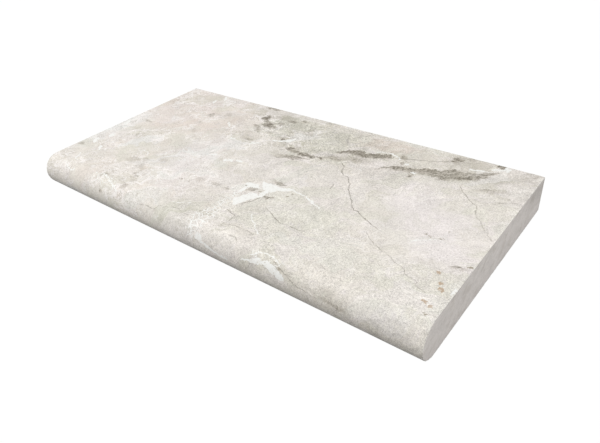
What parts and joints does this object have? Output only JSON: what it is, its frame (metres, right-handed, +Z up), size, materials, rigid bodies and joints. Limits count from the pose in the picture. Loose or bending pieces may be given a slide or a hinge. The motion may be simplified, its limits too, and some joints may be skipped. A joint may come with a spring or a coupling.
{
  "type": "marble pool coping",
  "caption": "Flat sawn marble slab with a full bullnose along one long edge, laid as the rim stone around a pool or as a step tread.",
  "frame": {"origin": "on the underside, at the middle of the slab's length and of its width from nose to back", "axes": "+X along the pool edge, +Y from the bullnose to the square back, +Z up from the underside to the honed top"},
  "size_m": [0.61, 0.3049, 0.048],
  "materials": {
    "marble": "honed"
  },
  "bodies": {
    "root": {"coping_slab": "marble"}
  },
  "joints": []
}
